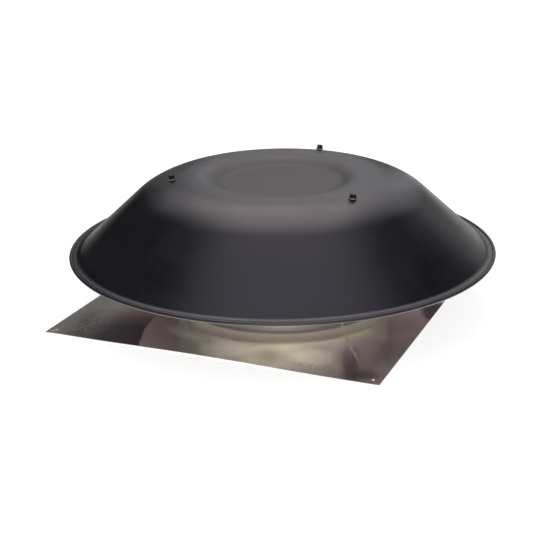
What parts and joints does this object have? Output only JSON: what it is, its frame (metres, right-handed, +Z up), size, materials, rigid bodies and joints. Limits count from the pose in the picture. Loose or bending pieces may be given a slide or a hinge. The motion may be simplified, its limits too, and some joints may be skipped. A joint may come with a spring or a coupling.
{
  "type": "static roof vent",
  "caption": "Passive roof vent: spun dome hood with a dished top and rolled rim, on strap legs over a square flashing sheet with a drawn round throat and a bird screen.",
  "frame": {"origin": "on the axis of the dome and throat, at the underside of the flashing, which is the centre of the bottom of the bounding box", "axes": "+Z up along the axis of the dome; X and Y along the sides of the flashing sheet, with the first leg and screw at +Y"},
  "size_m": [0.613, 0.613, 0.1924],
  "materials": {
    "black_painted_dome": "satin black baked paint",
    "mill_aluminium": "mill finish sheet",
    "leg_aluminium": "mill finish strap",
    "rivet_aluminium": "bright",
    "galvanised_wire": "galvanised",
    "zinc_plated_steel": "zinc plated",
    "black_screw": "black, semi-gloss",
    "washer_rubber": "matte"
  },
  "bodies": {
    "root": {"flashing": "mill_aluminium", "dome": "black_painted_dome", "screen_hoop": "mill_aluminium", "bird_screen": "galvanised_wire", "screen_ring": "mill_aluminium", "lower_leg_rivets": "rivet_aluminium", "upper_leg_rivets": "rivet_aluminium", "hoop_rivets": "rivet_aluminium", "leg_back": "leg_aluminium", "dome_screw_back": "black_screw", "sealing_washer_back": "washer_rubber", "nut_back": "zinc_plated_steel", "leg_left": "leg_aluminium", "dome_screw_left": "black_screw", "sealing_washer_left": "washer_rubber", "nut_left": "zinc_plated_steel", "leg_right": "leg_aluminium", "dome_screw_right": "black_screw", "sealing_washer_right": "washer_rubber", "nut_right": "zinc_plated_steel"}
  },
  "joints": []
}
